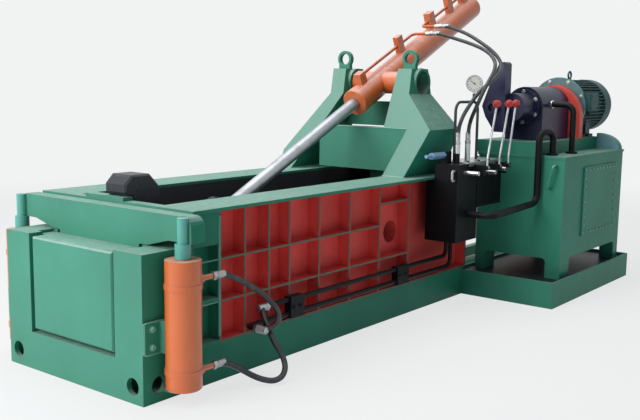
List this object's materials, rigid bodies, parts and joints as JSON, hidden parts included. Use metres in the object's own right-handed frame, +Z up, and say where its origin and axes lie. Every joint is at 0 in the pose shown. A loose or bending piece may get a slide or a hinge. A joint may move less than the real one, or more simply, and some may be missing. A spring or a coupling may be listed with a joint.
{
  "type": "recycling baler",
  "caption": "Hydraulic scrap-metal baler: ribbed press box with a sliding gate, hinged lid worked by an inclined cylinder, and a tank with motor, pump and valve levers beside it",
  "frame": {"origin": "middle of the machine's footprint box, on the floor", "axes": "+X runs along the machine from the gate to the main cylinder, +Y points away from the valve side, +Z is up"},
  "size_m": [4.85, 1.834, 2.1378],
  "materials": {
    "green_paint": "gloss machine enamel",
    "red_paint": "gloss machine enamel",
    "orange_paint": "gloss machine enamel",
    "bright_red_paint": "gloss machine enamel",
    "dark_blue_paint": "satin casting enamel",
    "teal_paint": "satin motor enamel",
    "black_paint": "satin black enamel",
    "wear_plate": "dark hot-rolled wear plate",
    "bright_steel": "ground and polished",
    "chromed_rod": "hard-chromed rod",
    "bronze": "machined bronze bush",
    "hose_rubber": "smooth hose cover",
    "gauge_metal": "gauge case and stem"
  },
  "bodies": {
    "frame": {"base_frame": "green_paint", "bed_liner": "wear_plate", "near_wall_liner": "wear_plate", "far_wall_liner": "wear_plate", "near_side_wall": "red_paint", "far_side_wall": "red_paint", "gate_housing": "green_paint", "top_frame": "green_paint", "near_pedestal": "green_paint", "far_pedestal": "green_paint", "trunnion_bushes": "bronze", "cross_beam": "green_paint", "rear_tie_plate": "green_paint", "rear_cradle": "green_paint", "near_gate_cylinder": "orange_paint", "far_gate_cylinder": "orange_paint", "hinge_bushes": "bronze", "main_cylinder": "orange_paint", "plinth": "green_paint", "oil_tank": "green_paint", "tank_cover": "green_paint", "filter_hood": "green_paint", "motor_base": "green_paint", "motor_body": "teal_paint", "motor_fan_cover": "teal_paint", "pump_body": "dark_blue_paint", "arch_bracket": "bright_red_paint", "coupling_guard": "dark_blue_paint", "valve_stand": "black_paint", "valve_block": "black_paint", "relief_valve": "bright_steel", "pressure_gauge": "gauge_metal", "suction_pipe": "black_paint", "return_pipe": "black_paint", "side_pipes": "black_paint", "jumper_pipe": "bright_steel", "gate_hose_upper": "hose_rubber", "gate_hose_lower": "hose_rubber", "lid_hose_rear": "hose_rubber", "lid_hose_front": "hose_rubber"},
    "gate": {"gate_slab": "green_paint", "crosshead_beam": "green_paint", "near_gate_rod": "chromed_rod", "far_gate_rod": "chromed_rod"},
    "lid": {"lid": "wear_plate", "lid_nose": "wear_plate", "lid_hinge_shaft": "bright_steel", "clevis_pin": "bright_steel"},
    "lid_barrel": {"lid_cylinder": "orange_paint", "lid_cylinder_gland": "orange_paint", "lid_cylinder_pipes": "orange_paint"},
    "lid_rod": {"lid_rod": "chromed_rod"},
    "press": {"press_head": "wear_plate", "ram": "bright_steel"},
    "drive": {"drive_shaft": "bright_steel", "drive_coupling": "black_paint", "motor_fan": "black_paint"},
    "front_lever": {"front_lever": "bright_steel"},
    "middle_lever": {"middle_lever": "bright_steel"},
    "rear_lever": {"rear_lever": "bright_steel"}
  },
  "joints": [
    {"name": "gate_slide", "type": "slide", "parent": "frame", "child": "gate", "axis": [0, 0, 1], "range_m": [0, 0.4]},
    {"name": "lid_hinge", "type": "hinge", "parent": "frame", "child": "lid", "pos_m": [-0.412, 0.237, 0.517], "axis": [0, 1, 0], "range_deg": [0, 70]},
    {"name": "lid_cylinder_trunnion", "type": "hinge", "parent": "frame", "child": "lid_barrel", "pos_m": [0.065, 0.237, 1.415], "axis": [0, 1, 0], "range_deg": [0, 35], "deforming": ["lid_hose_rear", "lid_hose_front"]},
    {"name": "lid_rod_pin", "type": "hinge", "parent": "lid", "child": "lid_rod", "pos_m": [-1.41074, 0.237, 0.70795], "axis": [0, 1, 0], "range_deg": [-35, 0]},
    {"name": "press_slide", "type": "slide", "parent": "frame", "child": "press", "axis": [-1, 0, 0], "range_m": [0, 1.6]},
    {"name": "motor_spin", "type": "hinge", "parent": "frame", "child": "drive", "pos_m": [0.975, -0.475, 1.265], "axis": [1, 0, 0], "continuous": true},
    {"name": "front_lever_hinge", "type": "hinge", "parent": "frame", "child": "front_lever", "pos_m": [0.099, -0.563, 0.897], "axis": [1, 0, 0], "range_deg": [-12, 12], "stiffness_Nm_per_rad": 20},
    {"name": "middle_lever_hinge", "type": "hinge", "parent": "frame", "child": "middle_lever", "pos_m": [0.262, -0.563, 0.897], "axis": [1, 0, 0], "range_deg": [-12, 12], "stiffness_Nm_per_rad": 20},
    {"name": "rear_lever_hinge", "type": "hinge", "parent": "frame", "child": "rear_lever", "pos_m": [0.387, -0.563, 0.897], "axis": [1, 0, 0], "range_deg": [-12, 12], "stiffness_Nm_per_rad": 20}
  ],
  "couplings": [
    {"joint": "lid_cylinder_trunnion", "follows": "lid_hinge", "ratio": 0.5},
    {"joint": "lid_rod_pin", "follows": "lid_hinge", "ratio": -0.5}
  ]
}
